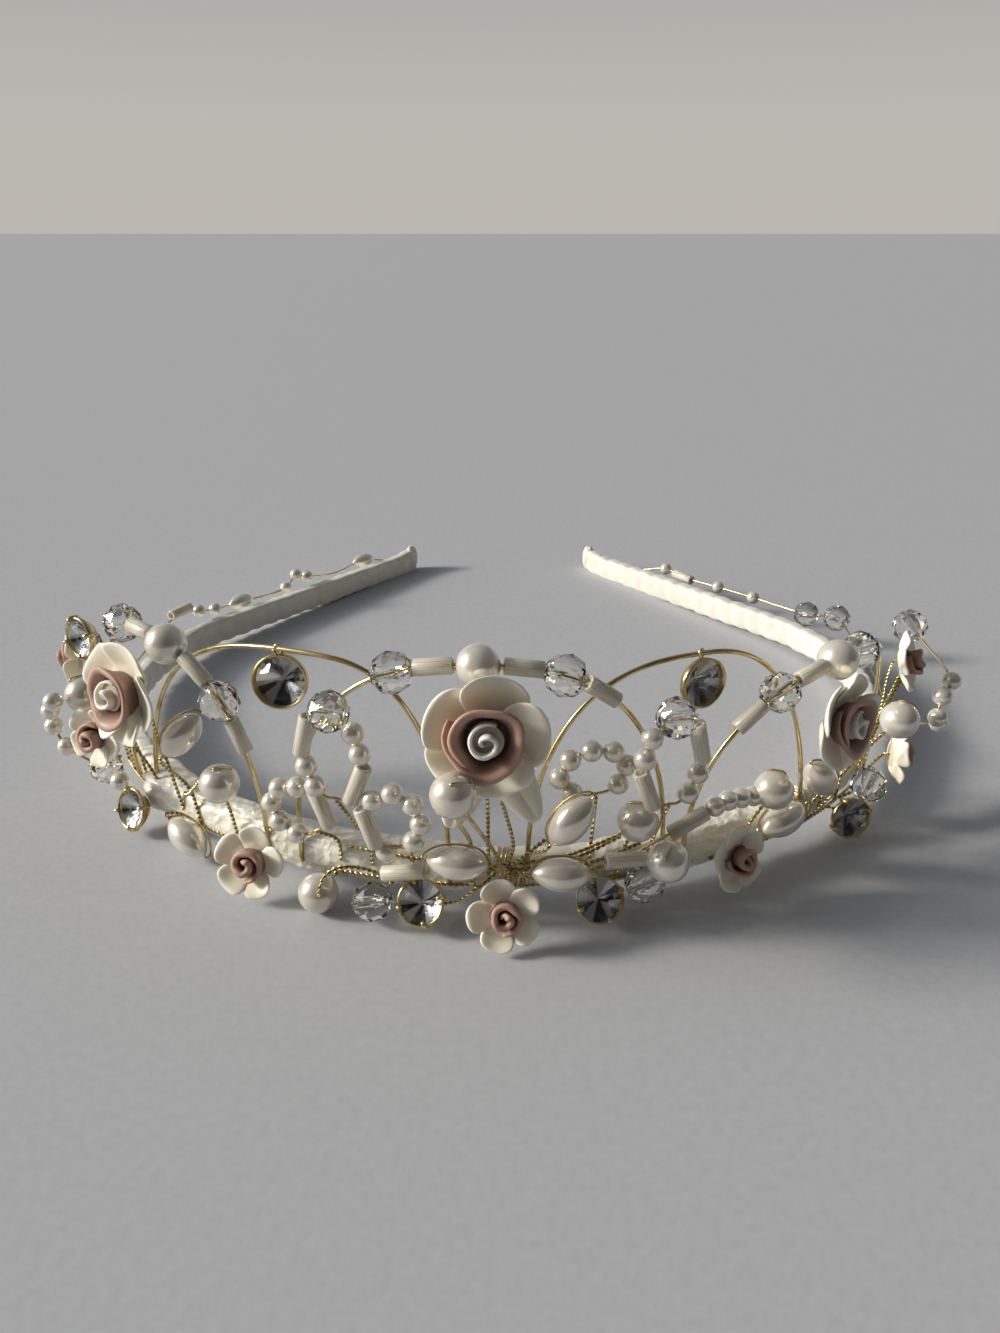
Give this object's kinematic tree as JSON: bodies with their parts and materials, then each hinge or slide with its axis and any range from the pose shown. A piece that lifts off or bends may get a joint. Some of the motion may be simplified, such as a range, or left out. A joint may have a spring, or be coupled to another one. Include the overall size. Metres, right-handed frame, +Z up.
{
  "type": "flower headband",
  "caption": "Horseshoe hair band wound in satin ribbon, with a front spray of gold wire arches and stems that carry porcelain roses, pearls, crystals and foiled stones.",
  "frame": {"origin": "centre of the bounding box on the surface that the headband lies on", "axes": "+Z up from the surface, the decorated front towards -Y, the open ends of the band towards +Y, +X to the right as seen from the front"},
  "size_m": [0.145, 0.1578, 0.0406],
  "materials": {
    "satin_ribbon": "ivory satin ribbon wound in slanting turns",
    "gold_wire": "thin gilt wire, polished and slightly tarnished",
    "porcelain": "air-dried cold porcelain, cream petals with dusty-pink rolled hearts, satin",
    "pearl": "ivory imitation pearl, glossy lacquer",
    "crystal": "clear cut glass",
    "foiled_stone": "clear cut glass over silver foil in a gilt claw cup"
  },
  "bodies": {
    "root": {"ribbon_band": "satin_ribbon", "arch_centre": "gold_wire", "arch_left": "gold_wire", "arch_right": "gold_wire", "arch_side_left": "gold_wire", "arch_side_right": "gold_wire", "pearl_top": "pearl", "pearl_side_left": "pearl", "pearl_side_right": "pearl", "pearl_centre_low": "pearl", "pearl_right_high": "pearl", "pearl_right_low": "pearl", "pearl_right_side": "pearl", "pearl_right_out": "pearl", "pearl_left_low": "pearl", "pearl_left_high": "pearl", "pearl_left_out": "pearl", "rice_pearl_centre_left": "pearl", "rice_pearl_centre_high": "pearl", "rice_pearl_centre_low": "pearl", "rice_pearl_left_high": "pearl", "rice_pearl_left_low": "pearl", "rice_pearl_right_low": "pearl", "rice_pearl_right_high": "pearl", "crystal_centre_left": "crystal", "crystal_centre_right": "crystal", "crystal_side_left": "crystal", "crystal_side_right": "crystal", "crystal_far_left": "crystal", "crystal_far_right": "crystal", "crystal_front_left": "crystal", "crystal_front_right": "crystal", "crystal_right": "crystal", "rhinestone_arch_left": "foiled_stone", "rhinestone_arch_right": "foiled_stone", "rhinestone_front_left": "foiled_stone", "rhinestone_front_right": "foiled_stone", "rhinestone_left": "foiled_stone", "rhinestone_right": "foiled_stone", "rhinestone_back_left": "foiled_stone", "rose_centre": "porcelain", "rose_left": "porcelain", "rose_right": "porcelain", "rose_front": "porcelain", "rose_front_left": "porcelain", "rose_front_right": "porcelain", "rose_low_left": "porcelain", "rose_low_right": "porcelain", "rose_back_left": "porcelain", "rose_back_right": "porcelain", "pearl_loop_left": "pearl", "pearl_loop_far_left": "pearl", "pearl_loop_tall_left": "pearl", "pearl_loop_tall_right": "pearl", "pearl_loop_right": "pearl", "bead_string_left": "pearl", "bead_string_right": "pearl", "stems_centre": "gold_wire", "stems_left": "gold_wire", "stems_right": "gold_wire"}
  },
  "joints": []
}
